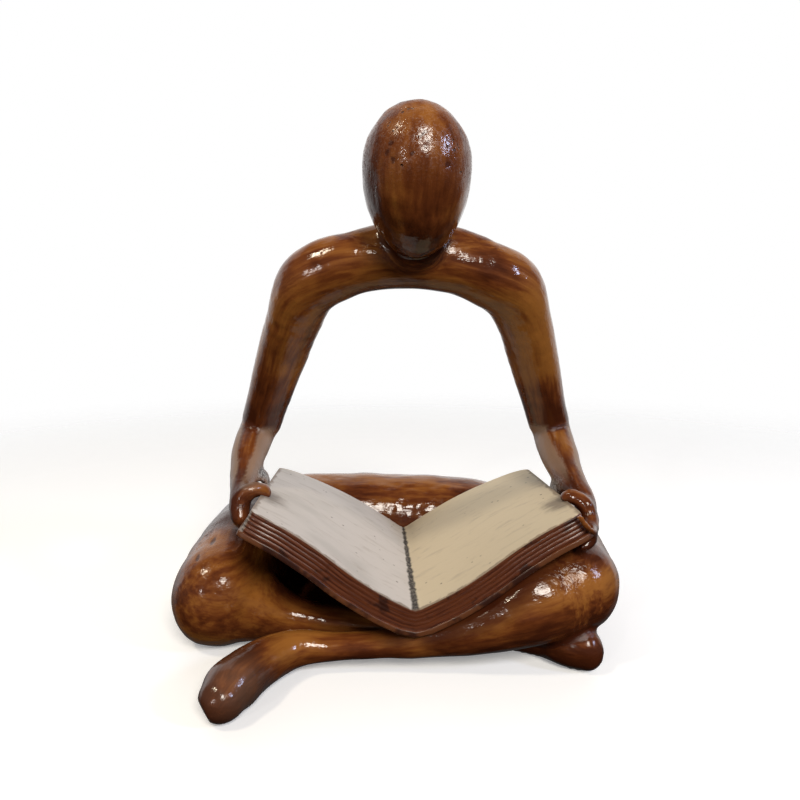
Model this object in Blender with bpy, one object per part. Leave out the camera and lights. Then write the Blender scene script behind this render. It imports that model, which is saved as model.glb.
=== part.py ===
"""Reading figure: a seated abstract figure with crossed legs, an egg for a head and an open book in its hands.

Two solids: the figure, cast in one, and the book that is glued into its hands. Metres, +Z up. The figure faces -Y,
its left and right below are those of someone who looks at it from the front, and the origin is on the ground under
the middle of the whole piece.
"""
import math

import bmesh
import bpy
import numpy as np

MM = 0.001

# The figure. Its pose and proportions are drawn at DRAWN_HEIGHT and scale with FIGURE_HEIGHT.
FIGURE_HEIGHT = 188.0 * MM
DRAWN_HEIGHT = 188.0 * MM
HEAD_HALF_WIDTH = 17.6 * MM
HEAD_RISE = 19.6 * MM
HEAD_DROP = 28.8 * MM
HEAD_LEAN = 14.0

# The book, open on the lap: one page is BOOK_PAGE wide and BOOK_LENGTH long.
BOOK_PAGE = 66.0 * MM
BOOK_LENGTH = 86.0 * MM
BOOK_THICKNESS = 9.6 * MM
COVER_THICKNESS = 2.0 * MM
COVER_LIP = 0.8 * MM
PAGE_LAYERS = 5
PAGE_GROOVE = 0.45 * MM
GROOVE_SHARE = 0.35
COVER_STEP_SHARE = 0.1
PAGE_CORNER = 7.0 * MM
FRONT_CORNER_SHARE = 0.35
BACK_CORNER_SHARE = 0.6
GUTTER_WIDTH = 3.0 * MM
LEFT_SLOPE_FRONT = 33.5
LEFT_SLOPE_BACK = 28.5
RIGHT_SLOPE_FRONT = 31.0
RIGHT_SLOPE_BACK = 26.5
PAGE_WAVE = 6.0
PAGE_BOW = 7.0
GUTTER_X = 0.2 * MM
GUTTER_Y = -45.0 * MM
GUTTER_Z = 25.2 * MM
GUTTER_DROP = 1.2 * MM

# The hands that hold it, each this far from the book's front end.
LEFT_HOLD = 27.0 * MM
RIGHT_HOLD = 20.0 * MM
FINGER_OFFSETS = (4.4, 0.0, -4.4)
WEB_SPREAD = 4.5
WEB_THICKNESS = 2.0 * MM
GLUE_GAP = 0.3 * MM

# Colours of the two finishes.
LACQUER_BROWN = (0.22, 0.085, 0.025)
PAGE_CREAM = (0.62, 0.56, 0.46)

# How finely the surfaces are made.
RING_SIDES = 20
ROWS_PER_SPAN = 8
CAP_ANGLES = (84.0, 64.0, 42.0, 20.0)
HEAD_RINGS = 19
HEAD_POLE_ANGLE = 87.0
CAST_VOXEL = 1.25 * MM
CAST_SOFTENING = 7
FIGURE_TRIANGLE_SHARE = 0.042
GUTTER_STEPS = 3
PAGE_STEPS = 8
CORNER_STEPS = 4
BOOK_LENGTH_STEPS = 6
PAGE_CURVE_STEPS = 264
PAGE_CURVE_REACH = 1.1

SCALE = FIGURE_HEIGHT / DRAWN_HEIGHT

# Limbs as rows of (x, y, z, half width, half height) along their middle line, drawn at DRAWN_HEIGHT.
SHOULDERS = (
    (-60.4, 16.0, 80.6, 8.2, 8.4),
    (-56.8, 11.0, 89.7, 8.4, 8.6),
    (-48.4, -1.0, 110.1, 9.6, 9.6),
    (-43.2, -9.0, 121.6, 10.0, 10.0),
    (-36.6, -16.0, 134.6, 11.2, 11.4),
    (-25.0, -19.0, 140.9, 10.8, 11.2),
    (-12.5, -20.0, 142.5, 9.4, 9.8),
    (1.2, -20.5, 142.9, 9.4, 9.8),
    (14.3, -20.0, 142.0, 9.6, 10.3),
    (26.0, -18.0, 138.9, 10.8, 11.4),
    (36.6, -14.0, 133.6, 11.7, 11.8),
    (43.5, -8.0, 121.6, 10.2, 10.2),
    (48.7, -1.0, 109.8, 9.8, 9.8),
    (57.2, 11.0, 89.0, 8.8, 8.8),
    (61.1, 16.0, 79.6, 8.6, 8.6),
)
NAPE = (
    (-22.2, -20.0, 145.5, 6.9, 6.9),
    (-12.4, -20.0, 147.0, 8.0, 8.2),
    (1.1, -20.5, 148.0, 8.6, 9.0),
    (14.1, -20.0, 146.8, 7.9, 8.0),
    (24.3, -19.0, 144.5, 7.1, 7.1),
)
NECK = (
    (1.0, -19.0, 144.0, 9.5, 9.0),
    (0.8, -25.0, 152.0, 9.0, 8.5),
    (0.5, -33.0, 162.0, 9.5, 9.0),
)
HEAD_MIDDLE = (0.4, -39.0, 169.3)
LEFT_FOREARM = (
    (-62.4, 19.0, 77.0, 7.6, 7.6),
    (-63.6, 6.0, 70.2, 7.1, 6.6),
    (-63.7, -7.0, 63.1, 5.4, 5.4),
)
RIGHT_FOREARM = (
    (63.0, 19.0, 75.8, 7.8, 7.8),
    (62.6, 6.0, 68.7, 8.0, 6.9),
    (62.8, -7.0, 61.6, 6.3, 5.7),
)
LEFT_KNEE = (-72.2, -14.0, 18.4, 18.2, 19.6)
RIGHT_KNEE = (57.9, -27.5, 26.6, 17.9, 17.9)
HIPS_AND_THIGHS = (
    LEFT_KNEE,
    (-70.2, 0.0, 20.4, 19.4, 21.0),
    (-67.9, 16.0, 22.2, 20.0, 22.4),
    (-64.6, 36.0, 22.4, 19.4, 23.4),
    (-50.1, 52.0, 22.8, 19.9, 23.8),
    (-25.8, 60.0, 21.9, 21.3, 23.0),
    (-0.4, 62.0, 20.9, 21.5, 22.6),
    (25.0, 60.0, 20.3, 21.4, 22.4),
    (49.3, 52.0, 19.4, 20.0, 21.2),
    (63.9, 32.0, 21.4, 20.0, 22.6),
    (63.4, 4.0, 23.0, 19.1, 20.4),
    RIGHT_KNEE,
)
UNDER_LEG = (
    LEFT_KNEE,
    (-59.2, -15.0, 13.5, 13.1, 13.5),
    (-45.5, -15.7, 9.0, 8.5, 8.5),
    (-25.1, -18.1, 6.9, 6.5, 6.2),
    (3.5, -21.3, 5.9, 5.4, 5.3),
    (29.8, -24.1, 5.2, 5.3, 5.0),
    (46.6, -29.8, 5.2, 6.0, 5.3),
    (54.8, -36.5, 6.8, 7.0, 7.2),
    (60.8, -40.4, 7.4, 6.2, 7.6),
)
OVER_LEG = (
    RIGHT_KNEE,
    (41.7, -35.1, 22.5, 14.4, 15.0),
    (25.3, -36.9, 16.6, 10.6, 10.6),
    (7.5, -37.4, 12.1, 7.1, 7.1),
    (-11.9, -37.2, 9.4, 4.9, 4.9),
    (-27.7, -36.1, 8.4, 5.3, 4.9),
    (-41.8, -36.8, 8.3, 6.4, 6.6),
    (-52.3, -45.2, 8.1, 7.8, 7.8),
    (-58.8, -56.4, 8.2, 8.8, 8.6),
    (-60.8, -61.8, 7.2, 7.4, 7.4),
)
LAP = (
    (-40.0, 14.0, 4.5, 30.0, 7.5),
    (-14.0, 16.0, 2.5, 34.0, 8.0),
    (14.0, 15.0, 2.5, 36.0, 8.0),
    (40.0, 8.0, 4.5, 36.0, 8.5),
)

# Hands as rows of (along the book from where the hand takes hold, out past the page's outer edge, above the page
# in thicknesses of the book, radius). The webs are the flat blobs of glue that run on into the forearms.
LEFT_PALM = (
    (0.0, 5.6, -0.41, 4.1),
    (-3.0, 3.9, -0.78, 4.0),
    (-5.5, 2.0, -1.06, 3.4),
)
RIGHT_PALM = (
    (4.0, 6.2, -0.41, 4.0),
    (0.0, 4.9, -0.72, 3.5),
    (-5.0, 3.2, -0.93, 3.4),
    (-9.0, 1.6, -1.06, 3.1),
)
LEFT_THUMB = (
    (-3.0, 5.6, -0.56, 2.9),
    (-2.5, 3.9, -0.14, 3.2),
    (-1.5, 1.6, 0.08, 3.0),
    (0.0, -0.9, 0.14, 2.7),
    (0.5, -2.8, 0.06, 2.3),
)
RIGHT_THUMB = (
    (-4.0, 4.5, -0.45, 3.0),
    (-2.0, 3.5, -0.16, 3.1),
    (-0.5, 1.5, 0.07, 2.8),
    (0.0, -0.6, 0.10, 2.4),
)
FINGER_UNDER_COVER = (
    (0.0, 4.2, -0.55, 2.3),
    (0.0, 3.2, -0.95, 2.3),
    (0.0, -0.9, -1.29, 2.3),
    (0.0, -9.0, -1.22, 2.0),
)
FINGER_ON_PAGE_CORNER = (
    (-20.3, -2.4, -0.02, 1.2),
    (-20.0, -1.6, -0.38, 1.3),
    (-18.5, -0.3, -0.74, 1.4),
    (-15.0, 0.9, -0.96, 1.8),
    (-10.0, 1.6, -1.00, 2.1),
)
FINGER_UNDER_CORNER = (
    (-8.0, 2.0, -0.95, 2.3),
    (-12.0, 0.4, -1.22, 2.3),
    (-14.5, -1.6, -1.30, 2.2),
    (-15.5, -4.5, -1.30, 2.0),
)
LEFT_WEB = (
    (19.0, -0.8, -0.20, 1.4),
    (16.0, 2.2, 0.22, 1.2),
)
RIGHT_WEB = (
    (20.0, -0.8, -0.20, 1.4),
    (18.0, 2.2, 0.20, 1.2),
)


def remove_everything():
    """Empty the scene without closing the file that the script runs from."""
    for thing in list(bpy.data.objects):
        bpy.data.objects.remove(thing, do_unlink=True)


def painted(name, colour, roughness):
    """A plain Principled material."""
    material = bpy.data.materials.new(name)
    material.use_nodes = True
    shader = material.node_tree.nodes["Principled BSDF"]
    shader.inputs["Base Color"].default_value = (*colour, 1.0)
    shader.inputs["Roughness"].default_value = roughness
    shader.inputs["Metallic"].default_value = 0.0
    material.diffuse_color = (*colour, 1.0)
    return material


def drawn(rows):
    """Rows of the drawing as an array in metres."""
    return np.array(rows, dtype=float) * MM * SCALE


def flowing(rows):
    """A Catmull-Rom curve through every column of the rows, with ROWS_PER_SPAN samples a span."""
    rows = np.asarray(rows, dtype=float)
    padded = np.vstack([2 * rows[0] - rows[1], rows, 2 * rows[-1] - rows[-2]])
    before, start, end, after = padded[:-3], padded[1:-2], padded[2:-1], padded[3:]
    step = np.linspace(0.0, 1.0, ROWS_PER_SPAN, endpoint=False)[None, :, None]
    before, start, end, after = (array[:, None, :] for array in (before, start, end, after))
    curve = 0.5 * (
        2 * start
        + (end - before) * step
        + (2 * before - 5 * start + 4 * end - after) * step**2
        + (3 * start - before - 3 * end + after) * step**3
    )
    return np.vstack([curve.reshape(-1, rows.shape[1]), rows[-1]])


def limb(rows, level=(0.0, 0.0, 1.0)):
    """A round-ended tube through rows of (x, y, z, half width, half height): rings square to the middle line.

    The half width lies square to the direction called level, and the half height square to both.
    """
    curve = flowing(rows)
    middle = curve[:, :3]
    half_width = curve[:, 3]
    half_height = curve[:, 4]
    along = np.gradient(middle, axis=0)
    along /= np.linalg.norm(along, axis=1)[:, None]
    cap_angles = np.radians(CAP_ANGLES)
    first = middle[0] - along[0] * np.sin(cap_angles)[:, None] * half_width[0]
    last = middle[-1] + along[-1] * np.sin(cap_angles[::-1])[:, None] * half_width[-1]
    shrink = np.concatenate([np.cos(cap_angles), np.ones(len(middle)), np.cos(cap_angles[::-1])])
    ends = len(cap_angles)
    middle = np.vstack([first, middle, last])
    along = np.vstack([np.repeat(along[:1], ends, 0), along, np.repeat(along[-1:], ends, 0)])
    half_width = np.pad(half_width, ends, mode="edge") * shrink
    half_height = np.pad(half_height, ends, mode="edge") * shrink
    side = np.cross(along, np.array(level))
    side /= np.linalg.norm(side, axis=1)[:, None]
    rise = np.cross(side, along)
    turn = np.linspace(0.0, 2 * math.pi, RING_SIDES, endpoint=False)
    across = np.cos(turn)[None, :, None] * (side * half_width[:, None])[:, None, :]
    upward = np.sin(turn)[None, :, None] * (rise * half_height[:, None])[:, None, :]
    return middle[:, None, :] + across + upward


def egg(middle, half_width, rise, drop, lean):
    """The head: a half ellipsoid of height rise over one of height drop, leaning forward by lean degrees."""
    turn = np.linspace(0.0, 2 * math.pi, RING_SIDES, endpoint=False)
    climb = np.radians(np.linspace(-HEAD_POLE_ANGLE, HEAD_POLE_ANGLE, HEAD_RINGS))
    radius = half_width * np.cos(climb)
    height = np.where(climb > 0, rise, drop) * np.sin(climb)
    tilt = math.radians(lean)
    across = radius[:, None] * np.cos(turn)
    forward = radius[:, None] * np.sin(turn)
    upward = np.repeat(height[:, None], RING_SIDES, 1)
    placed = np.stack(
        [
            across,
            forward * math.cos(tilt) - upward * math.sin(tilt),
            forward * math.sin(tilt) + upward * math.cos(tilt),
        ],
        axis=-1,
    )
    return placed + np.asarray(middle)


def add_rings(bm, rings):
    """Put one closed shell of rings into the bmesh, with a flat face over each end ring."""
    grid = [[bm.verts.new(point) for point in ring] for ring in rings]
    sides = len(grid[0])
    new_faces = []
    for lower, upper in zip(grid, grid[1:]):
        for i in range(sides):
            j = (i + 1) % sides
            new_faces.append(bm.faces.new((lower[i], lower[j], upper[j], upper[i])))
    new_faces.append(bm.faces.new(grid[0][::-1]))
    new_faces.append(bm.faces.new(grid[-1]))
    bmesh.ops.recalc_face_normals(bm, faces=new_faces)


def page_slope(share, back, side):
    """Slope of the page in radians at a share of its width from the gutter.

    The front end is a lazy S and the back end bows up; back runs from 0 to 1 between them, and the slope
    starts from nothing in the gutter.
    """
    front_slope, back_slope = (
        (LEFT_SLOPE_FRONT, LEFT_SLOPE_BACK) if side < 0 else (RIGHT_SLOPE_FRONT, RIGHT_SLOPE_BACK)
    )
    wave = front_slope - PAGE_WAVE * np.cos(2 * math.pi * share)
    bow = back_slope + PAGE_BOW * np.cos(math.pi * share)
    into_gutter = np.clip(share * BOOK_PAGE / (0.5 * GUTTER_WIDTH), 0.0, 1.0)
    return np.radians((wave + (bow - wave) * back) * into_gutter)


def page_sheet(side, shares, backs):
    """Points and normals of one page: the slope added up along the width, for every place along the spine.

    Returns two arrays indexed by place along the spine and share of the width. The curve runs on a little past
    the page's edge, for what is measured out from there.
    """
    fine = np.linspace(0.0, PAGE_CURVE_REACH, PAGE_CURVE_STEPS + 1)
    middles = 0.5 * (fine[1:] + fine[:-1])
    stride = BOOK_PAGE * (fine[1] - fine[0])
    points = np.empty((len(backs), len(shares), 3))
    normals = np.empty_like(points)
    for row, back in enumerate(backs):
        slope = page_slope(middles, back, side)
        out = np.interp(shares, fine, np.concatenate([[0.0], np.cumsum(np.cos(slope))]) * stride)
        up = np.interp(shares, fine, np.concatenate([[0.0], np.cumsum(np.sin(slope))]) * stride)
        here = page_slope(shares, back, side)
        points[row] = np.stack([side * out, np.full_like(out, back * BOOK_LENGTH), up - back * GUTTER_DROP], -1)
        normals[row] = np.stack([-side * np.sin(here), np.zeros_like(here), np.cos(here)], -1)
    return points + np.array((GUTTER_X, GUTTER_Y, GUTTER_Z)) * SCALE, normals


def book_rings(grow=0.0, layered=True):
    """Closed stack of outlines from the page surface down to the cover.

    Every outline runs round the open book; it is pulled in by the grooves between the page layers and pushed
    out by the cover's lip. With grow it is the plain envelope of the book, larger by that much all round.
    """
    page_depth = BOOK_THICKNESS - COVER_THICKNESS
    if layered:
        layer = page_depth / PAGE_LAYERS
        groove_side = GROOVE_SHARE * layer
        step_side = COVER_STEP_SHARE * layer
        steps = [(0.0, COVER_LIP)]
        for number in range(1, PAGE_LAYERS):
            steps.append((layer * number - groove_side, COVER_LIP))
            steps.append((layer * number, COVER_LIP + PAGE_GROOVE))
            steps.append((layer * number + groove_side, COVER_LIP))
        steps.append((page_depth - step_side, COVER_LIP + PAGE_GROOVE))
        steps.append((page_depth + 0.5 * step_side, 0.0))
        steps.append((BOOK_THICKNESS, 0.0))
    else:
        steps = [(-grow, -grow), (BOOK_THICKNESS + grow, -grow)]
    rows = np.linspace(0.0, 1.0, BOOK_LENGTH_STEPS + 1)
    sheets = []
    for depth, inset in steps:
        width = BOOK_PAGE - inset
        reach = np.concatenate(
            [
                np.linspace(0.0, 0.5 * GUTTER_WIDTH, GUTTER_STEPS, endpoint=False),
                np.linspace(0.5 * GUTTER_WIDTH, width - PAGE_CORNER, PAGE_STEPS, endpoint=False),
                width - PAGE_CORNER * (1.0 - np.sin(np.radians(np.linspace(0.0, 90.0, CORNER_STEPS)))),
            ]
        )
        into_corner = np.clip(reach - (width - PAGE_CORNER), 0.0, PAGE_CORNER)
        trim = PAGE_CORNER - np.sqrt(PAGE_CORNER**2 - into_corner**2)
        start = (inset + FRONT_CORNER_SHARE * trim) / BOOK_LENGTH
        stop = 1.0 - (inset + BACK_CORNER_SHARE * trim) / BOOK_LENGTH
        columns = []
        for side, order in ((-1, slice(None, None, -1)), (1, slice(1, None))):
            block = []
            for out, first, last in zip(reach[order], start[order], stop[order]):
                backs = first + (last - first) * rows
                points, normals = page_sheet(side, np.array([out / BOOK_PAGE]), backs)
                block.append(points[:, 0] - normals[:, 0] * depth)
            columns.append(np.stack(block, axis=1))
        sheets.append(np.concatenate(columns, axis=1))
    return np.array(sheets)


def add_book(bm, sheets):
    """Close the stack: the first outline's whole sheet, the walls between outlines, the last sheet."""
    _, rows, columns, _ = sheets.shape
    rim = [(0, i) for i in range(columns)]
    rim += [(j, columns - 1) for j in range(1, rows)]
    rim += [(rows - 1, i) for i in range(columns - 2, -1, -1)]
    rim += [(j, 0) for j in range(rows - 2, 0, -1)]
    top = {(j, i): bm.verts.new(sheets[0, j, i]) for j in range(rows) for i in range(columns)}
    bottom = {(j, i): bm.verts.new(sheets[-1, j, i]) for j in range(rows) for i in range(columns)}
    walls = [top] + [{place: bm.verts.new(sheet[place]) for place in rim} for sheet in sheets[1:-1]] + [bottom]
    for j in range(rows - 1):
        for i in range(columns - 1):
            corners = ((j, i), (j, i + 1), (j + 1, i + 1), (j + 1, i))
            bm.faces.new([top[c] for c in corners])
            bm.faces.new([bottom[c] for c in reversed(corners)])
    for upper, lower in zip(walls, walls[1:]):
        for here, there in zip(rim, rim[1:] + rim[:1]):
            bm.faces.new((upper[here], lower[here], lower[there], upper[there]))
    bmesh.ops.recalc_face_normals(bm, faces=bm.faces[:])


def at_page_edge(side, along, out, above):
    """A place by the page's outer edge: along the book from its front end, outward past it, above the page."""
    points, normals = page_sheet(side, np.array([1.0]), np.array([along / BOOK_LENGTH]))
    slope = page_slope(np.array([1.0]), along / BOOK_LENGTH, side)[0]
    outward = np.array([side * math.cos(slope), 0.0, math.sin(slope)])
    return points[0, 0] + outward * out + normals[0, 0] * above


def beside_page(side, hold, rows, spread=1.0):
    """Rows of a hand as rows of a limb: middle, radius, and radius times spread."""
    placed = []
    for along, out, above, radius in rows:
        middle = at_page_edge(side, hold + along * MM * SCALE, out * MM * SCALE, above * BOOK_THICKNESS)
        placed.append((*middle, radius * MM * SCALE, spread * radius * MM * SCALE))
    return np.array(placed)


def hand(side, hold, forearm, palm, thumb, web):
    """Forearm and palm, the thumb over the page, the fingers under the cover and the web of glue behind the hand."""
    lengthwise = (0.0, 1.0, 0.0)
    yield limb(np.vstack([drawn(forearm), beside_page(side, hold, palm)]))
    yield limb(beside_page(side, hold, thumb), lengthwise)
    for offset in FINGER_OFFSETS:
        yield limb(beside_page(side, hold + offset * MM * SCALE, FINGER_UNDER_COVER), lengthwise)
    web_end = (*drawn(forearm)[-1, :3], 0.5 * WEB_THICKNESS, 0.5 * WEB_SPREAD * WEB_THICKNESS)
    yield limb(np.vstack([beside_page(side, hold, web, WEB_SPREAD), web_end]), lengthwise)


def new_object(name, bm, material=None):
    """Turn a bmesh into an object of the scene."""
    mesh = bpy.data.meshes.new(name)
    bm.to_mesh(mesh)
    bm.free()
    thing = bpy.data.objects.new(name, mesh)
    bpy.context.scene.collection.objects.link(thing)
    if material:
        mesh.materials.append(material)
    mesh.shade_smooth()
    return thing


def cutter(name, bm):
    """A guide that only cuts: hidden from renders and drawn as wire."""
    thing = new_object(name, bm)
    thing.hide_render = True
    thing.display_type = "WIRE"
    return thing


def make_book(material):
    """The open book with its page layers and the lip of its cover."""
    bm = bmesh.new()
    add_book(bm, book_rings())
    thing = new_object("book", bm, material)
    thing.data.set_sharp_from_angle(angle=math.radians(35))
    return thing


def make_figure(material):
    """The cast figure: limbs and head overlap, are fused into one skin, softened, and cut for book and ground."""
    bm = bmesh.new()
    for rows in (SHOULDERS, NAPE, NECK, HIPS_AND_THIGHS, UNDER_LEG, OVER_LEG, LAP):
        add_rings(bm, limb(drawn(rows)))
    head_middle = np.array(HEAD_MIDDLE) * MM * SCALE
    head_sizes = (HEAD_HALF_WIDTH, HEAD_RISE, HEAD_DROP)
    add_rings(bm, egg(head_middle, *(size * SCALE for size in head_sizes), HEAD_LEAN))
    for rings in hand(-1, LEFT_HOLD, LEFT_FOREARM, LEFT_PALM, LEFT_THUMB, LEFT_WEB):
        add_rings(bm, rings)
    for rings in hand(1, RIGHT_HOLD, RIGHT_FOREARM, RIGHT_PALM, RIGHT_THUMB, RIGHT_WEB):
        add_rings(bm, rings)
    for finger in (FINGER_ON_PAGE_CORNER, FINGER_UNDER_CORNER):
        add_rings(bm, limb(beside_page(1, RIGHT_HOLD, finger)))
    thing = new_object("figure", bm, material)

    fuse = thing.modifiers.new("fuse", "REMESH")
    fuse.mode = "VOXEL"
    fuse.voxel_size = CAST_VOXEL
    fuse.use_smooth_shade = True
    soften = thing.modifiers.new("soften", "SMOOTH")
    soften.factor = 0.5
    soften.iterations = CAST_SOFTENING
    thin_out = thing.modifiers.new("thin out", "DECIMATE")
    thin_out.ratio = FIGURE_TRIANGLE_SHARE

    envelope = bmesh.new()
    add_book(envelope, book_rings(grow=GLUE_GAP, layered=False))
    ground = bmesh.new()
    bmesh.ops.create_cube(ground, size=1.0)
    bmesh.ops.scale(ground, vec=(2 * FIGURE_HEIGHT, 2 * FIGURE_HEIGHT, FIGURE_HEIGHT), verts=ground.verts)
    bmesh.ops.translate(ground, vec=(0.0, 0.0, -0.5 * FIGURE_HEIGHT), verts=ground.verts)
    for name, shape in (("book clearance", envelope), ("ground", ground)):
        cut = thing.modifiers.new(name, "BOOLEAN")
        cut.operation = "DIFFERENCE"
        cut.solver = "EXACT"
        cut.object = cutter(name, shape)
    return thing


def stand_on_origin(things):
    """Hang everything on an empty that puts the middle of the whole piece's footprint over the origin."""
    bpy.context.view_layer.update()
    graph = bpy.context.evaluated_depsgraph_get()
    solids = [thing for thing in things if not thing.hide_render]
    corners = np.array([corner for thing in solids for corner in thing.evaluated_get(graph).bound_box])
    low, high = corners.min(axis=0), corners.max(axis=0)
    origin = bpy.data.objects.new("origin", None)
    bpy.context.scene.collection.objects.link(origin)
    origin.location = (-0.5 * (low[0] + high[0]), -0.5 * (low[1] + high[1]), -low[2])
    for thing in things:
        thing.parent = origin


def main():
    """Build the statue."""
    remove_everything()
    make_book(painted("book paint", PAGE_CREAM, 0.55))
    make_figure(painted("brown lacquer", LACQUER_BROWN, 0.18))
    stand_on_origin(list(bpy.context.scene.collection.objects))
    bpy.context.view_layer.update()


main()
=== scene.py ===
"""Finished looks of a cast figure that reads a book: brushed lacquer, painted pages, a pale floor and soft light.

The figure's limbs are tubes carried along flowing lines and fused into one skin, and the book is a stack of
outlines round its open pages. Metres, +Z up; the figure faces -Y.
"""
import math

import bpy
import numpy as np
from bpy.props import FloatProperty, FloatVectorProperty, IntProperty, PointerProperty
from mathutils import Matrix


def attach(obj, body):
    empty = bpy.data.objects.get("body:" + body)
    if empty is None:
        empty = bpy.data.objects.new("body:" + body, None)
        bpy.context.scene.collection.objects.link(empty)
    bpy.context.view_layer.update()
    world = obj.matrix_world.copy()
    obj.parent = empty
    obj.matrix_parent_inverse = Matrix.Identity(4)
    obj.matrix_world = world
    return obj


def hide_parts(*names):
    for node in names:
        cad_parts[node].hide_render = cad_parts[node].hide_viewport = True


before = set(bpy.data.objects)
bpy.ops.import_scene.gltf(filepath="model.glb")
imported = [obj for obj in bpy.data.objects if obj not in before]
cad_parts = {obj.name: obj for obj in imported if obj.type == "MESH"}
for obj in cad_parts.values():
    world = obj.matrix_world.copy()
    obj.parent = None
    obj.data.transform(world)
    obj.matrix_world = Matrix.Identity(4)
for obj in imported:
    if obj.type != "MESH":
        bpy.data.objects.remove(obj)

bl_info = {
    "name": "Reading Figure",
    "version": (1, 0, 0),
    "blender": (4, 5, 0),
    "location": "3D View > Sidebar > Reading Figure",
    "description": "A cast figure with an open book, in brushed lacquer, on a pale floor",
    "category": "Object",
}

MM = 0.001

# From the drawing of the limbs to the middle of the footprint, in millimetres.
FOOTPRINT_SHIFT = np.array([2.82, -7.23, 0.0])

# Rows of (x, y, z, half width, half height) along the limbs' middle lines, in millimetres of the drawing.
SHOULDERS = (
    (-60.4, 16.0, 80.6, 8.2, 8.4),
    (-56.8, 11.0, 89.7, 8.4, 8.6),
    (-48.4, -1.0, 110.1, 9.6, 9.6),
    (-43.2, -9.0, 121.6, 10.0, 10.0),
    (-36.6, -16.0, 134.6, 11.2, 11.4),
    (-25.0, -19.0, 140.9, 10.8, 11.2),
    (-12.5, -20.0, 142.5, 9.4, 9.8),
    (1.2, -20.5, 142.9, 9.4, 9.8),
    (14.3, -20.0, 142.0, 9.6, 10.3),
    (26.0, -18.0, 138.9, 10.8, 11.4),
    (36.6, -14.0, 133.6, 11.7, 11.8),
    (43.5, -8.0, 121.6, 10.2, 10.2),
    (48.7, -1.0, 109.8, 9.8, 9.8),
    (57.2, 11.0, 89.0, 8.8, 8.8),
    (61.1, 16.0, 79.6, 8.6, 8.6),
)
NAPE = (
    (-22.2, -20.0, 145.5, 6.9, 6.9),
    (-12.4, -20.0, 147.0, 8.0, 8.2),
    (1.1, -20.5, 148.0, 8.6, 9.0),
    (14.1, -20.0, 146.8, 7.9, 8.0),
    (24.3, -19.0, 144.5, 7.1, 7.1),
)
NECK = (
    (1.0, -19.0, 144.0, 9.5, 9.0),
    (0.8, -25.0, 152.0, 9.0, 8.5),
    (0.5, -33.0, 162.0, 9.5, 9.0),
)
LEFT_FOREARM = (
    (-62.4, 19.0, 77.0, 7.6, 7.6),
    (-63.6, 6.0, 70.2, 7.1, 6.6),
    (-63.7, -7.0, 63.1, 5.4, 5.4),
)
RIGHT_FOREARM = (
    (63.0, 19.0, 75.8, 7.8, 7.8),
    (62.6, 6.0, 68.7, 8.0, 6.9),
    (62.8, -7.0, 61.6, 6.3, 5.7),
)
LEFT_KNEE = (-72.2, -14.0, 18.4, 18.2, 19.6)
RIGHT_KNEE = (57.9, -27.5, 26.6, 17.9, 17.9)
HIPS_AND_THIGHS = (
    LEFT_KNEE,
    (-70.2, 0.0, 20.4, 19.4, 21.0),
    (-67.9, 16.0, 22.2, 20.0, 22.4),
    (-64.6, 36.0, 22.4, 19.4, 23.4),
    (-50.1, 52.0, 22.8, 19.9, 23.8),
    (-25.8, 60.0, 21.9, 21.3, 23.0),
    (-0.4, 62.0, 20.9, 21.5, 22.6),
    (25.0, 60.0, 20.3, 21.4, 22.4),
    (49.3, 52.0, 19.4, 20.0, 21.2),
    (63.9, 32.0, 21.4, 20.0, 22.6),
    (63.4, 4.0, 23.0, 19.1, 20.4),
    RIGHT_KNEE,
)
UNDER_LEG = (
    LEFT_KNEE,
    (-59.2, -15.0, 13.5, 13.1, 13.5),
    (-45.5, -15.7, 9.0, 8.5, 8.5),
    (-25.1, -18.1, 6.9, 6.5, 6.2),
    (3.5, -21.3, 5.9, 5.4, 5.3),
    (29.8, -24.1, 5.2, 5.3, 5.0),
    (46.6, -29.8, 5.2, 6.0, 5.3),
    (54.8, -36.5, 6.8, 7.0, 7.2),
    (60.8, -40.4, 7.4, 6.2, 7.6),
)
OVER_LEG = (
    RIGHT_KNEE,
    (41.7, -35.1, 22.5, 14.4, 15.0),
    (25.3, -36.9, 16.6, 10.6, 10.6),
    (7.5, -37.4, 12.1, 7.1, 7.1),
    (-11.9, -37.2, 9.4, 4.9, 4.9),
    (-27.7, -36.1, 8.4, 5.3, 4.9),
    (-41.8, -36.8, 8.3, 6.4, 6.6),
    (-52.3, -45.2, 8.1, 7.8, 7.8),
    (-58.8, -56.4, 8.2, 8.8, 8.6),
    (-60.8, -61.8, 7.2, 7.4, 7.4),
)
LAP = (
    (-40.0, 14.0, 4.5, 30.0, 7.5),
    (-14.0, 16.0, 2.5, 34.0, 8.0),
    (14.0, 15.0, 2.5, 36.0, 8.0),
    (40.0, 8.0, 4.5, 36.0, 8.5),
)
# The head's middle, and the line that its brush marks follow.
HEAD_MIDDLE = (0.4, -39.0, 169.3)
HEAD_LINE = (
    (0.4, -35.0, 148.0, 11.0, 11.0),
    (0.4, -38.0, 160.0, 16.0, 16.0),
    (0.4, -41.0, 172.0, 17.6, 17.6),
    (0.4, -44.0, 184.0, 14.0, 14.0),
)
# The front end of the fold between the pages.
GUTTER_FRONT = (0.2, -45.0, 25.2)

# How finely the tubes and the head are drawn, and the angles in degrees at which their rings end.
TUBE_SIDES = 48
TUBE_ROWS_A_SPAN = 12
CAP_RINGS = 9
CAP_ANGLES = (88.0, 8.0)
HEAD_RINGS = 60
HEAD_POLE_ANGLE = 89.0
LEVEL = (0.0, 0.0, 1.0)
LENGTHWISE = (0.0, 1.0, 0.0)

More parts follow.
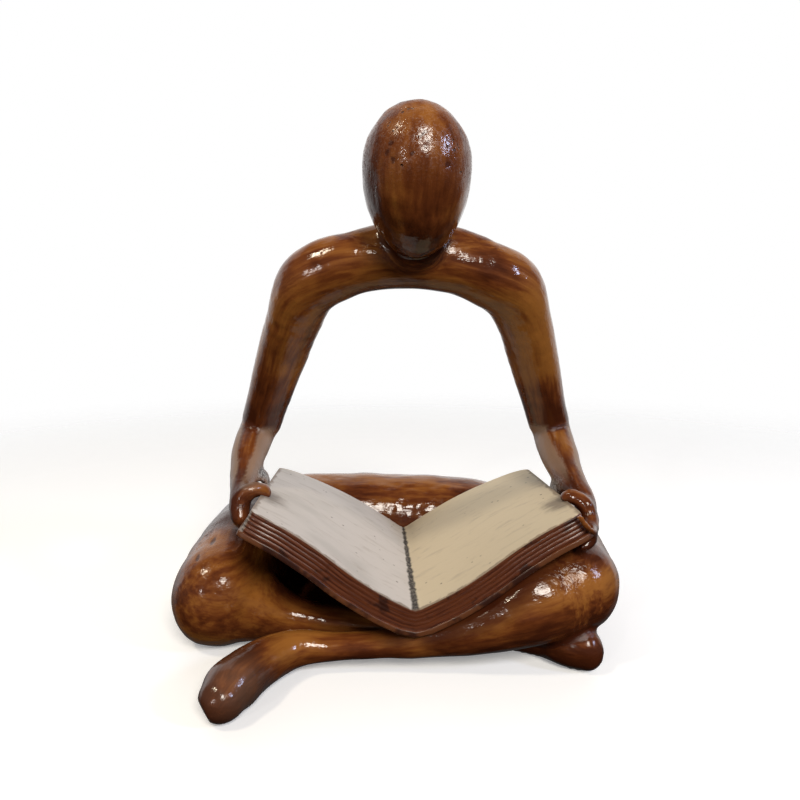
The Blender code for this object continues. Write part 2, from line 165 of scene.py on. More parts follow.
# Hands as rows of (along from where the hand takes hold, out past the page's edge, above the page in book
# thicknesses, radius), in millimetres but for the third. -1 is the left side and 1 the right.
HOLD = {-1: 27.0, 1: 20.0}
PALM = {
    -1: ((0.0, 5.6, -0.41, 4.1), (-3.0, 3.9, -0.78, 4.0), (-5.5, 2.0, -1.06, 3.4)),
    1: ((4.0, 6.2, -0.41, 4.0), (0.0, 4.9, -0.72, 3.5), (-5.0, 3.2, -0.93, 3.4), (-9.0, 1.6, -1.06, 3.1)),
}
THUMB = {
    -1: (
        (-3.0, 5.6, -0.56, 2.9),
        (-2.5, 3.9, -0.14, 3.2),
        (-1.5, 1.6, 0.08, 3.0),
        (0.0, -0.9, 0.14, 2.7),
        (0.5, -2.8, 0.06, 2.3),
    ),
    1: ((-4.0, 4.5, -0.45, 3.0), (-2.0, 3.5, -0.16, 3.1), (-0.5, 1.5, 0.07, 2.8), (0.0, -0.6, 0.10, 2.4)),
}
FINGER = ((0.0, 4.2, -0.55, 2.3), (0.0, 3.2, -0.95, 2.3), (0.0, -0.9, -1.29, 2.3), (0.0, -9.0, -1.22, 2.0))
FINGER_OFFSETS = (4.4, 0.0, -4.4)
RIGHT_FINGERS = (
    (
        (-20.3, -2.4, -0.02, 1.2),
        (-20.0, -1.6, -0.38, 1.3),
        (-18.5, -0.3, -0.74, 1.4),
        (-15.0, 0.9, -0.96, 1.8),
        (-10.0, 1.6, -1.00, 2.1),
    ),
    ((-8.0, 2.0, -0.95, 2.3), (-12.0, 0.4, -1.22, 2.3), (-14.5, -1.6, -1.30, 2.2), (-15.5, -4.5, -1.30, 2.0)),
)
GLUE_WEB = {
    -1: ((19.0, -0.8, -0.20, 1.4), (16.0, 2.2, 0.22, 1.2)),
    1: ((20.0, -0.8, -0.20, 1.4), (18.0, 2.2, 0.20, 1.2)),
}
WEB_HALF_THICKNESS = 1.0 * MM
WEB_SPREAD = 4.5
WEB_REACH = 2.6 * MM
COVER_SHADE_REACH = 8.0 * MM

# The plane that the left foot's end is pressed against: a place in millimetres of the drawing, and the way out;
# how much of what stands past it is taken away, and how far from the place that ends.
FLAT_END = np.array([-65.6, -65.4, 5.6])
FLAT_END_WAY = np.array([-0.80, -0.50, -0.34])
FLAT_END_SHARE = 0.84
FLAT_END_REACH = (17 * MM, 13 * MM)

# Open bubbles of the casting on the head and the left knee, in millimetres of the drawing.
BUBBLES = (
    (-2.1, -56.9, 169.7),
    (1.6, -56.7, 171.6),
    (-0.2, -56.0, 174.3),
    (1.6, -55.5, 175.7),
    (-8.3, -54.0, 173.2),
    (-9.3, -53.5, 170.5),
    (-7.7, -54.5, 168.2),
    (8.5, -54.4, 167.4),
    (-75.4, -11.3, 38.5),
    (-79.0, -19.8, 35.4),
)
BUBBLE_RADIUS = 0.85 * MM
BUBBLE_DEPTH = 0.5 * MM

# The broken ridge near the crown: its place as a share of the head's rise, its reach and its height.
RIDGE_PLACE = 0.85
RIDGE_REACH = 2.2 * MM
RIDGE_HEIGHT = 0.5 * MM
SEAT_LUMP = 0.22 * MM

# Smooth waves are the mean of this many sines, times the gain.
WAVE_SINES = 8
WAVE_GAIN = 1.8

# How soon the streaks turn from one limb into the next, and how deep a hollow is when it is darkened in full.
GRAIN_SHARPNESS = 14.0
HOLLOW_DARKENING_DEPTH = 0.12 * MM

# What lies lower than this is the flat underside.
GROUND_HEIGHT = 0.45 * MM
POINTS_AT_ONCE = 20000

# Zones of the figure, as smooth steps of (measure, start, end) in millimetres of the finished frame.
SEAT = (("y", 24, 32), ("across", 44, 26), ("y", 52, 44))
FOREARMS = (("z", 80, 77), ("across", 50, 54), ("z", 60, 66))
UPPER_FOREARMS = (("z", 62, 78),)
FRONT_OF_HEAD = (("z", 156, 168), ("y", -30, -40))
HEAD = (("z", 146, 160),)
LAP_UNDER_BOOK = (("x", -56, -40), ("x", 62, 44), ("y", 44, 30), ("z", 50, 40), ("y", -34, -22))
BELOW_COVER = (("z", 52, 46),)

# Spots on the figure: place and reach in millimetres of the drawing.
PITTED_KNEE = ((-80.82, -4.77, 34.0), 20.0)
# A fainter pale painted reflection on a toe, as on the forearms' sides.
TOE_SHEEN = ((-57.0, -60.0, 9.0), 9.0)

# How many coats of lacquer lie over a zone: elbows, upper arms, head, crown, legs, forearms, shoulders.
COATS_OVER_ZONES = (
    (1.2, (("z", 104, 84), ("z", 76, 79), ("y", 30, 26))),
    (-0.5, (("z", 92, 104), ("z", 138, 124))),
    (0.5, HEAD),
    (0.15, (*HEAD, ("z", 160, 182))),
    (0.6, (("z", 52, 40),)),
    (0.7, FOREARMS),
    (0.5, (("z", 128, 136), ("z", 160, 146))),
)
# How many more or fewer coats lie round a place: place and reach in millimetres of the drawing, coats.
COATS = (
    ((-62.0, -64.0, 4.0), 12.0, 2.6),
    ((-58.0, -54.0, 14.0), 12.0, 0.9),
    ((-74.0, 16.0, 36.0), 20.0, 2.8),
    ((60.0, -42.0, 6.0), 17.0, 2.5),
    ((-80.0, -14.0, 28.0), 15.0, -0.8),
    ((-72.0, -30.0, 4.0), 14.0, -1.8),
    ((60.0, -44.0, 34.0), 15.0, -0.8),
    ((52.0, -44.0, 14.0), 12.0, -0.9),
    ((-44.0, -40.0, 12.0), 12.0, -0.6),
    ((-62.0, -18.0, 55.0), 11.0, 2.2),
    ((63.0, -24.0, 53.0), 11.0, 2.0),
    ((61.0, -37.0, 46.0), 8.0, 1.8),
    ((60.0, 16.0, 88.0), 9.0, -0.6),
    ((-50.0, -2.0, 108.0), 14.0, 0.4),
)
# Tops count as this many coats fewer and undersides as this many more, so tops are painted lighter and undersides
# darker: painted light and shade.
FACING_LIGHT_PAINTED = 0.5

# How the book's outlines are divided, and how its corners are rounded.
FRONT_CORNER_SHARE = 0.25
BACK_CORNER_SHARE = 0.65
PAGE_COLUMNS = 72
COLUMN_CROWDING = 0.8
CORNER_COLUMNS = 12
PAGE_ROWS = 64
ROWS_A_LAYER = 6

# The edges of the book: rounding of the page's rim as (depth, inset past the cover's lip), rounding of the cover,
# how full the layers bulge, where along the width the grooves fade, and the unevenness of the wall.
RIM_ROWS = ((0.0, 0.25 * MM), (0.12 * MM, 0.08 * MM))
BOARD_ROUNDING = 0.35 * MM
BULGE_POWER = 0.6
GROOVE_FADE = (0.75, 0.2)
WALL_DRIFT = 0.16 * MM
SHARP_ANGLE = math.radians(50)

# Colours that the paints mix with the ones that a user would change.
# Pale beige painted as a reflection of bright surroundings on the forearms' sides and a toe.
SHEEN_BEIGE = (0.27, 0.175, 0.115)
GLUE_DARK = (0.05, 0.04, 0.035)
GLUE_PALE = (0.42, 0.40, 0.38)
PAGE_SHADE = (0.40, 0.37, 0.33)
PAGE_SMEAR = (0.30, 0.24, 0.19)
PAGE_SPECK = (0.10, 0.07, 0.05)
FOLD_DARK = (0.02, 0.014, 0.01)
FOLD_PALE = (0.16, 0.135, 0.11)
WORN_RIM = (0.16, 0.10, 0.06)
THUMB_DIRT = (0.13, 0.095, 0.07)
EDGE_DARK = (0.045, 0.012, 0.008)
EDGE_BLOTCH = (0.02, 0.006, 0.004)
COVER_DARK = (0.035, 0.010, 0.005)
WORN_EDGE_PALE = (0.36, 0.33, 0.30)
WORN_EDGE_DARK = (0.10, 0.07, 0.05)
WHITE = (1.0, 1.0, 1.0, 1.0)

# Where the thumbs soil the pages: share of the page from the gutter, and place along the spine.
THUMB_PLACES = ((-0.94, 0.32), (0.95, 0.235))

# The depth of each paint's bumps, and the lacquer's index of refraction.
LACQUER_BUMP = 0.6 * MM
BOOK_BUMP = 0.3 * MM
LACQUER_IOR = 1.47

# The floor: half its side, how its second tone stands to its colour, and where it fades, all round the middle.
FLOOR_REACH = 4.0
FLOOR_TONE = 0.985
FLOOR_FADE = (0.22, 0.75)
FLOOR_GLOW = 0.24

# The surroundings' light as (axis, from, to, light before, light after): front to back, below to level, overhead.
SURROUNDINGS = (("Y", 0.18, 0.46, 0.20, 1.95), ("Z", -0.45, 0.10, 0.06, 1.0), ("Z", 0.30, 0.80, 1.0, 0.60))

# Lamps as (name, degrees round from the front, degrees up, distance, size, power, colour), aimed at one place.
LAMP_AIM = np.array([0.0, -0.02, 0.09])
LAMPS = (
    ("lamp_front", 15.0, 37.0, 1.0, 0.36, 8.0, (1.0, 0.94, 0.85)),
    ("lamp_left", -61.0, 53.0, 1.0, 0.12, 2.4, (1.0, 0.88, 0.68)),
    ("lamp_window", 63.0, 26.0, 1.1, 0.15, 3.0, (0.60, 0.70, 1.0)),
    ("lamp_side", -34.0, 14.0, 1.1, 0.07, 1.2, (1.0, 0.95, 0.92)),
)
SENSOR_WIDTH = 36.0
VIEW_NEAR = 0.01
VIEW_FAR = 20.0


# Sizes and colours that a user would change.


class FigureSizes(bpy.types.PropertyGroup):
    """The figure's sizes and the colours of its lacquer."""

    head_half_width: FloatProperty(
        name="Head half width", description="Widest half width of the egg", default=17.2 * MM,
        unit="LENGTH", subtype="DISTANCE",
    )
    head_rise: FloatProperty(
        name="Head rise", description="Height of the egg above its widest line", default=19.6 * MM,
        unit="LENGTH", subtype="DISTANCE",
    )
    head_drop: FloatProperty(
        name="Head drop", description="Depth of the egg below its widest line", default=27.3 * MM,
        unit="LENGTH", subtype="DISTANCE",
    )
    head_lean: FloatProperty(
        name="Head lean", description="How far the egg leans forward over the book", default=math.radians(14.0),
        unit="ROTATION", subtype="ANGLE",
    )
    skin_voxel: FloatProperty(
        name="Skin fineness", description="Cell size of the fused skin", default=1.2 * MM,
        unit="LENGTH", subtype="DISTANCE",
    )
    skin_softening: IntProperty(
        name="Skin softening", description="Smoothing passes over the fused skin", default=6, min=0, max=30,
    )
    dent_depth: FloatProperty(
        name="Dent depth", description="Height of the low hand-made waves in the casting", default=0.22 * MM,
        unit="LENGTH", subtype="DISTANCE",
    )
    amber: FloatVectorProperty(
        name="Amber", description="Lacquer where it is thin", default=(0.29, 0.108, 0.021), size=3,
        subtype="COLOR", min=0.0, max=1.0,
    )
    brown: FloatVectorProperty(
        name="Brown", description="Lacquer at its usual thickness", default=(0.150, 0.040, 0.010), size=3,
        subtype="COLOR", min=0.0, max=1.0,
    )
    # This colour also darkens the hollows, and is the painted shade under the book.
    dark: FloatVectorProperty(
        name="Dark", description="Lacquer that gathered in hollows and streaks", default=(0.046, 0.010, 0.004), size=3,
        subtype="COLOR", min=0.0, max=1.0,
    )


class BookSizes(bpy.types.PropertyGroup):
    """The open book's sizes and the colours of its paint."""

    page_width: FloatProperty(
        name="Page width", description="Width of one page along its curve", default=66.0 * MM,
        unit="LENGTH", subtype="DISTANCE",
    )
    page_length: FloatProperty(
        name="Page length", description="Length of the spine", default=86.0 * MM,
        unit="LENGTH", subtype="DISTANCE",
    )
    thickness: FloatProperty(
        name="Thickness", description="From the page surface to the outside of the cover", default=9.6 * MM,
        unit="LENGTH", subtype="DISTANCE",
    )
    cover_thickness: FloatProperty(
        name="Cover thickness", description="Thickness of the cover board", default=2.0 * MM,
        unit="LENGTH", subtype="DISTANCE",
    )
    cover_lip: FloatProperty(
        name="Cover lip", description="How far the cover stands out past the pages", default=0.8 * MM,
        unit="LENGTH", subtype="DISTANCE",
    )
    page_layers: IntProperty(
        name="Page layers", description="Layers cut into the edge of the pages", default=5, min=2, max=12,
    )
    groove_depth: FloatProperty(
        name="Groove depth", description="Depth of the grooves between layers", default=0.28 * MM,
        unit="LENGTH", subtype="DISTANCE",
    )
    corner: FloatProperty(
        name="Corner", description="Reach of the rounded page corners", default=10.0 * MM,
        unit="LENGTH", subtype="DISTANCE",
    )
    gutter_width: FloatProperty(
        name="Gutter width", description="Width of the fold between the pages", default=3.0 * MM,
        unit="LENGTH", subtype="DISTANCE",
    )
    left_paint: FloatVectorProperty(
        name="Left page", description="Cool off-white of the left page", default=(0.57, 0.52, 0.475), size=3,
        subtype="COLOR", min=0.0, max=1.0,
    )
    right_paint: FloatVectorProperty(
        name="Right page", description="Warm cream of the right page", default=(0.61, 0.51, 0.355), size=3,
        subtype="COLOR", min=0.0, max=1.0,
    )
    edge_paint: FloatVectorProperty(
        name="Page edges", description="Brown of the layered page edges", default=(0.140, 0.038, 0.012), size=3,
        subtype="COLOR", min=0.0, max=1.0,
    )
    cover_paint: FloatVectorProperty(
        name="Cover", description="Lighter brown of the cover's edge", default=(0.125, 0.042, 0.015), size=3,
        subtype="COLOR", min=0.0, max=1.0,
    )


class StageSizes(bpy.types.PropertyGroup):
    """The camera, the lamps and the floor."""

    camera_place: FloatVectorProperty(
        name="Camera place", description="Where the camera stands", default=(-0.01088, -0.24223, 0.124), size=3,
        unit="LENGTH", subtype="TRANSLATION",
    )
    camera_turn: FloatVectorProperty(
        name="Camera turn", description="The camera's rotation",
        default=(math.radians(82.0), 0.0, math.radians(-2.57)), size=3, unit="ROTATION", subtype="EULER",
    )
    camera_lens: FloatProperty(
        name="Lens", description="Focal length in millimetres", default=27.05, unit="CAMERA",
    )
    floor_paint: FloatVectorProperty(
        name="Floor", description="Colour of the floor", default=(0.95, 0.95, 0.95), size=3,
        subtype="COLOR", min=0.0, max=1.0,
    )
    room_light: FloatProperty(
        name="Room light", description="Brightness of the surroundings", default=0.56, min=0.01, max=4.0,
    )
    lamp_light: FloatProperty(
        name="Lamp light", description="Share of the lamps' power", default=1.0, min=0.0, max=8.0,
    )


class StatueSizes(bpy.types.PropertyGroup):
    """Everything that a user would change."""

    figure: PointerProperty(type=FigureSizes)
    book: PointerProperty(type=BookSizes)
    stage: PointerProperty(type=StageSizes)


# Nodes.


class Socket:
    """An output socket of a node tree, whose arithmetic adds Math nodes."""

    def __init__(self, nodes, socket):
        self.nodes = nodes
        self.socket = socket

    def math(self, operation, *values):
        """A Math node on one value or two."""
        return self.nodes.node("ShaderNodeMath", {"operation": operation}, dict(enumerate(values)))

    def __abs__(self):
        return self.math("ABSOLUTE", self)

    def __add__(self, other):
        return self.math("ADD", self, other)

    def __radd__(self, other):
        return self.math("ADD", other, self)

    def __sub__(self, other):
        return self.math("SUBTRACT", self, other)

    def __rsub__(self, other):
        return self.math("SUBTRACT", other, self)

    def __mul__(self, other):
        return self.math("MULTIPLY", self, other)

    def __rmul__(self, other):
        return self.math("MULTIPLY", other, self)


class Nodes:
    """The node tree of a material or world in the making, with short names for the nodes used here."""

    def __init__(self, owner):
        owner.use_nodes = True
        self.tree = owner.node_tree
        self.tree.nodes.clear()

    def node(self, kind, settings, sockets, output=0):
        """Add a node: its settings first, then each socket's value or link. Gives one of its outputs."""
        made = self.tree.nodes.new(kind)
        for key, value in settings.items():
            setattr(made, key, value)
        for key, value in sockets.items():
            if isinstance(value, Socket):
                self.tree.links.new(value.socket, made.inputs[key])
            else:
                made.inputs[key].default_value = value
        return Socket(self, made.outputs[output]) if made.outputs else None

    def attribute(self, name):
        """A vector that the mesh carries at each vertex."""
        return self.node("ShaderNodeAttribute", {"attribute_name": name}, {}, "Vector")

    def coordinates(self, kind="Object"):
        """Object coordinates, or another kind."""
        return self.node("ShaderNodeTexCoord", {}, {}, kind)

    def stretched(self, vector, scale, shift=(0.0, 0.0, 0.0)):
        """A vector scaled by three numbers, so that a pattern runs long in one direction, then shifted."""
        return self.node("ShaderNodeMapping", {}, {"Vector": vector, "Scale": scale, "Location": shift})

    def noise(self, vector, scale=1.0, detail=3.0, roughness=0.55, distortion=0.0):
        """Noise from 0 to 1."""
        sockets = {"Vector": vector, "Scale": scale, "Detail": detail, "Roughness": roughness}
        return self.node("ShaderNodeTexNoise", {}, {**sockets, "Distortion": distortion})

    def spots(self, vector, scale):
        """Distance to the nearest of scattered points, in cells."""
        return self.node("ShaderNodeTexVoronoi", {}, {"Vector": vector, "Scale": scale})

    def length(self, vector):
        """The length of a vector."""
        return self.node("ShaderNodeVectorMath", {"operation": "LENGTH"}, {0: vector}, "Value")

    def between(self, value, low, high, start=0.0, end=1.0):
        """From start to end as the value runs from low to high, as a smooth step."""
        sockets = {0: value, 1: low, 2: high, 3: start, 4: end}
        return self.node("ShaderNodeMapRange", {"interpolation_type": "SMOOTHSTEP"}, sockets)

    def mix(self, share, first, second):
        """The first colour, and a share of the second over it."""
        first, second = (c if isinstance(c, Socket) else (*c, 1.0) for c in (first, second))
        return self.node("ShaderNodeMix", {"data_type": "RGBA"}, {0: share, 6: first, 7: second}, 2)

    def parts(self, vector):
        """The three numbers of a vector."""
        made = self.node("ShaderNodeSeparateXYZ", {}, {0: vector})
        return [Socket(self, output) for output in made.socket.node.outputs]


class Paint(Nodes):
    """A material in the making."""

    def __init__(self, name):
        self.material = bpy.data.materials.new(name)
        super().__init__(self.material)

    def finish(self, height=None, depth=0.0, **sockets):
        """End in a Principled shader with bumps; a name's underscores stand for spaces."""
        named = {key.replace("_", " "): value for key, value in sockets.items()}
        if height:
            named["Normal"] = self.node("ShaderNodeBump", {}, {"Height": height, "Distance": depth})
        shader = self.node("ShaderNodeBsdfPrincipled", {}, named)
        self.node("ShaderNodeOutputMaterial", {}, {"Surface": shader})
        return self.material


def figure_lacquer(sizes):
    """Glossy brown lacquer, brushed along the limbs, over a pitted casting.

    The attributes hold: grain, the place along, beside and above the limb; marks, how hollow the place is, how much
    painted sheen (a painted reflection) it takes and how freckled it is; tone, how shaded it is by the book (painted
    shade), how much glue lies there and how many coats of lacquer, with tops counted as fewer coats (painted light).
    """
    paint = Paint("brushed_brown_lacquer")
    place = paint.coordinates()
    grain = paint.attribute("grain")
    hollow, painted_sheen, freckled = paint.parts(paint.attribute("hollows_sheen_pits"))
    shaded, glue, coats = paint.parts(paint.attribute("tone"))
    amber, brown, dark = (tuple(colour) for colour in (sizes.amber, sizes.brown, sizes.dark))

    streaks = paint.noise(paint.stretched(grain, (60.0, 520.0, 520.0)), detail=4.0, roughness=0.6, distortion=0.3)
    broad = paint.noise(paint.stretched(grain, (22.0, 110.0, 110.0)), roughness=0.5, distortion=0.3)
    clouds = paint.noise(place, 42.0)
    thinness = 0.28 * streaks + 0.34 * broad + 0.38 * clouds - 0.10 * coats
    colour = paint.mix(paint.between(thinness, 0.41, 0.58), brown, amber)
    colour = paint.mix(paint.between(thinness, 0.48, 0.33, 0.0, 0.85), colour, dark)
    # Darker in hollows and at open bubbles.
    colour = paint.mix(0.8 * paint.between(hollow, 0.10, 0.8), colour, dark)
    colour = paint.mix(0.93 * shaded, colour, dark)
    # Painted reflection: pale beige on the forearms' sides and a toe, where the lacquer would mirror bright
    # surroundings.
    colour = paint.mix(0.75 * painted_sheen, colour, SHEEN_BEIGE)

    rare = paint.between(paint.noise(place, 95.0, detail=1.0), 0.60, 0.70)
    pit = paint.between(paint.spots(place, 520.0), 0.30, 0.18) * rare * freckled
    colour = paint.mix(0.9 * pit, colour, dark)
    crumbs = paint.noise(place, 1300.0, detail=2.0, roughness=0.7)
    colour = paint.mix(glue, colour, paint.mix(paint.between(crumbs, 0.45, 0.6), GLUE_DARK, GLUE_PALE))

    grit = paint.noise(place, 1200.0, detail=2.0, roughness=0.7)
    lumps = paint.noise(place, 260.0, detail=2.0, roughness=0.5)
    brush = paint.noise(paint.stretched(grain, (110.0, 700.0, 700.0)), roughness=0.6)
    height = 0.22 * brush + 0.38 * lumps + 0.17 * grit * freckled - 0.9 * pit + 0.6 * glue * crumbs
    rough = 0.10 + 0.10 * paint.between(streaks, 0.45, 0.65) + 0.25 * pit + 0.3 * glue
    rough = rough + 0.35 * paint.between(grit, 0.50, 0.60) * freckled + 0.25 * painted_sheen
    return paint.finish(height, LACQUER_BUMP, Base_Color=colour, Roughness=rough, IOR=LACQUER_IOR)


def book_paint(sizes):
    """Painted pages, one cool and one warm, with worn brown layers at the edges.

    The attribute leaf holds the share of the page from the gutter (negative on the left page), the place along the
    spine from 0 to 1, and the depth below the page surface from 0 to 1.
    """
    paint = Paint("book_paint")
    place = paint.coordinates()
    leaf = paint.attribute("leaf")
    share, along, depth = paint.parts(leaf)
    right = paint.between(share, -0.01, 0.01)
    from_gutter = abs(share)

    smears = paint.noise(paint.stretched(leaf, (5.0, 26.0, 0.0)), detail=4.0, roughness=0.6, distortion=0.6)
    wide = paint.noise(paint.stretched(leaf, (2.0, 5.0, 0.0), (3.0, 1.0, 0.0)), detail=2.0)
    rare = paint.between(paint.noise(place, 60.0, detail=1.0), 0.55, 0.62)
    specks = paint.between(paint.spots(place, 260.0), 0.16, 0.08) * rare
    page = paint.mix(right, tuple(sizes.left_paint), tuple(sizes.right_paint))
    page = paint.mix(0.45 * paint.between(wide, 0.45, 0.7) * (1.0 - right), page, PAGE_SHADE)
    page = paint.mix(0.38 * paint.between(smears, 0.52, 0.74), page, PAGE_SMEAR)
    page = paint.mix(0.8 * specks, page, PAGE_SPECK)

    waver = 0.036 * (paint.noise(paint.stretched(leaf, (0.0, 22.0, 0.0)), detail=4.0) - 0.5)
    crumbs = paint.noise(place, 900.0, roughness=0.7)
    fold = paint.between(from_gutter + waver + 0.008 * along, 0.026, 0.012)
    page = paint.mix(fold, page, paint.mix(paint.between(crumbs, 0.44, 0.64), FOLD_DARK, FOLD_PALE))
    ragged = paint.noise(place, 260.0, roughness=0.6)
    outer_rim = paint.between(from_gutter + 0.05 * ragged, 0.985, 1.005)
    front_rim = paint.between(along - 0.05 * ragged, 0.004, -0.010)
    for rim in (outer_rim, front_rim):
        page = paint.mix(0.7 * rim, page, WORN_RIM)
    for thumb_share, thumb_along in THUMB_PLACES:
        distance = paint.length(paint.stretched(leaf, (1.0, 1.0, 0.0), (-thumb_share, -thumb_along, 0.0)))
        dirt = paint.between(distance + 0.16 * smears + 0.06 * ragged, 0.24, 0.13)
        page = paint.mix(0.75 * dirt, page, THUMB_DIRT)

    layers = paint.noise(paint.stretched(leaf, (6.0, 8.0, 70.0)), roughness=0.6)
    blotch = paint.noise(place, 120.0, roughness=0.6)
    edge = paint.mix(paint.between(layers, 0.42, 0.62), tuple(sizes.edge_paint), EDGE_DARK)
    edge = paint.mix(0.8 * paint.between(blotch, 0.56, 0.66), edge, EDGE_BLOTCH)
    cover = paint.mix(paint.between(blotch, 0.44, 0.60), tuple(sizes.cover_paint), COVER_DARK)
    worn = paint.mix(paint.between(layers, 0.40, 0.60), WORN_EDGE_PALE, WORN_EDGE_DARK)
    edge = paint.mix(0.8 * paint.between(from_gutter, 0.972, 0.980) * (1.0 - right), edge, worn)
    edge = paint.mix(paint.between(depth, 0.79, 0.81), edge, cover)
    under = paint.between(depth, 0.012, 0.03)
    return paint.finish(
        0.5 * smears + 0.3 * layers * under + 0.3 * blotch,
        BOOK_BUMP,
        Base_Color=paint.mix(under, page, edge),
        Roughness=0.62 - 0.36 * under + 0.1 * smears,
        Coat_Weight=0.2 * under,
        Coat_Roughness=0.12,
    )


def floor_paint(colour):
    """Plain matt floor with the faintest unevenness, which fades into the surroundings away from the middle."""
    paint = Paint("pale_floor")
    place = paint.coordinates()
    second = tuple(FLOOR_TONE * part for part in colour)
    return paint.finish(
        Base_Color=paint.mix(paint.noise(place, 4.0, detail=2.0), tuple(colour), second),
        Roughness=0.55,
        Alpha=paint.between(paint.length(place), *FLOOR_FADE, 1.0, 0.0),
        Emission_Color=WHITE,
        Emission_Strength=FLOOR_GLOW,
    )


# Surfaces.


def flowing(rows):
    """A Catmull-Rom curve through every column of the rows.

    Between rows b and c with neighbours a and d, at u from 0 to 1:
    (2b + (c - a)u + (2a - 5b + 4c - d)u^2 + (3b - a - 3c + d)u^3) / 2.
    """
    rows = np.asarray(rows, dtype=float)
    padded = np.vstack([2 * rows[0] - rows[1], rows, 2 * rows[-1] - rows[-2]])
    before, start, end, after = (padded[i : len(padded) - 3 + i][:, None, :] for i in range(4))
    step = np.linspace(0.0, 1.0, TUBE_ROWS_A_SPAN, endpoint=False)[None, :, None]
    curve = 0.5 * (
        2 * start
        + (end - before) * step
        + (2 * before - 5 * start + 4 * end - after) * step**2
        + (3 * start - before - 3 * end + after) * step**3
    )
    return np.vstack([curve.reshape(-1, rows.shape[1]), rows[-1]])


def travel(curve, level):
    """Directions along, to the side of and above a middle line, with how far along each place is.

    Along is the line's tangent, the side is square to it and to level, and above is square to both.
    """
    along = np.gradient(curve[:, :3], axis=0)
    steps = np.linalg.norm(np.diff(curve[:, :3], axis=0), axis=1)
    along /= np.linalg.norm(along, axis=1)[:, None]
    side = np.cross(along, np.array(level))
    side /= np.linalg.norm(side, axis=1)[:, None]
    return along, side, np.cross(side, along), np.concatenate([[0.0], np.cumsum(steps)])


def tube(rows, level=LEVEL):
    """A round-ended tube of ellipses carried along the rows' middle line.

    Ring point = middle + cos(t) * half width * side + sin(t) * half height * above; towards either end the
    rings shrink by cos(a) while they move out by sin(a) times the half width.
    """
    curve = flowing(rows)
    along, side, above, _ = travel(curve, level)
    angles = np.radians(np.linspace(88.0, 8.0, CAP_RINGS))
    first = curve[0, :3] - along[0] * np.sin(angles)[:, None] * curve[0, 3]
    last = curve[-1, :3] + along[-1] * np.sin(angles[::-1])[:, None] * curve[-1, 3]
    shrink = np.concatenate([np.cos(angles), np.ones(len(curve)), np.cos(angles[::-1])])
    middle = np.vstack([first, curve[:, :3], last])
    half_width, half_height = (np.pad(curve[:, i], CAP_RINGS, mode="edge") * shrink for i in (3, 4))
    side, above = (np.pad(v, ((CAP_RINGS, CAP_RINGS), (0, 0)), mode="edge") for v in (side, above))
    turn = np.linspace(0.0, 2 * math.pi, TUBE_SIDES, endpoint=False)
    across = np.cos(turn)[None, :, None] * (side * half_width[:, None])[:, None, :]
    upward = np.sin(turn)[None, :, None] * (above * half_height[:, None])[:, None, :]
    return middle[:, None, :] + across + upward


def egg(middle, half_width, rise, drop, lean):
    """The head: radius half_width * cos(c) at height sin(c) times rise above the widest line, or drop below it.

    The whole is turned about X, so that it leans forward by lean.
    """
    turn = np.linspace(0.0, 2 * math.pi, TUBE_SIDES, endpoint=False)
    climb = np.radians(np.linspace(-89.0, 89.0, HEAD_RINGS))
    radius = half_width * np.cos(climb)
    height = np.where(climb > 0, rise, drop) * np.sin(climb)
    across = radius[:, None] * np.cos(turn)
    forward = radius[:, None] * np.sin(turn)
    upward = np.repeat(height[:, None], TUBE_SIDES, 1)
    placed = [
        across,
        forward * math.cos(lean) - upward * math.sin(lean),
        forward * math.sin(lean) + upward * math.cos(lean),
    ]
    return np.stack(placed, axis=-1) + np.asarray(middle)


def closed_skin(rings, start):
    """Faces of a closed stack of rings whose first vertex has the number start.

    Each vertex, the next one round, and the two above them make a quad, and the first and last ring a face each.
    """
    count, sides = rings.shape[:2]
    number = start + np.arange(count * sides).reshape(count, sides)
    beside = np.roll(number, -1, axis=1)
    quads = np.stack([number[:-1], beside[:-1], beside[1:], number[1:]], axis=-1).reshape(-1, 4)
    return [*quads.tolist(), number[0, ::-1].tolist(), number[-1].tolist()]


def new_piece(name, points, faces, material):
    """A smooth-shaded object at the origin, with its place in its mesh."""
    mesh = bpy.data.meshes.new(name)
    mesh.from_pydata(points, [], faces)
    mesh.update()
    piece = bpy.data.objects.new(name, mesh)
    bpy.context.scene.collection.objects.link(piece)
    mesh.materials.append(material)
    mesh.shade_smooth()
    return piece


def as_evaluated(piece):
    """Apply the piece's modifiers: its mesh becomes what they make of it."""
    bpy.context.view_layer.update()
    graph = bpy.context.evaluated_depsgraph_get()
    made = bpy.data.meshes.new_from_object(piece.evaluated_get(graph), depsgraph=graph)
    piece.modifiers.clear()
    piece.data = made
    return made


def carry(mesh, name, vectors):
    """Store one vector at each vertex, for a paint to read."""
    attribute = mesh.attributes.new(name, "FLOAT_VECTOR", "POINT")
    attribute.data.foreach_set("vector", vectors.astype(np.float32).ravel())


def in_metres(rows):
    """Rows of the drawing in metres, over the middle of the footprint."""
    rows = np.array(rows, dtype=float)
    rows[:, :3] += FOOTPRINT_SHIFT
    return rows * MM


def soft_step(value, start, end):
    """From 0 at start to 1 at end, eased: 3t^2 - 2t^3."""
    t = np.clip((value - start) / (end - start), 0.0, 1.0)
    return t * t * (3.0 - 2.0 * t)


def waves(points, length, seed):
    """Smooth waves, mostly from -1 to 1: the mean of sines in random directions, about length apart, times a gain."""
    random = np.random.default_rng(seed)
    way = random.normal(size=(WAVE_SINES, 3))
    way /= np.linalg.norm(way, axis=1)[:, None]
    pace = 2 * math.pi / (length * random.uniform(0.7, 1.6, WAVE_SINES))
    start = random.uniform(0.0, 2 * math.pi, WAVE_SINES)
    return np.sin(points @ (way * pace[:, None]).T + start).mean(axis=1) * WAVE_GAIN


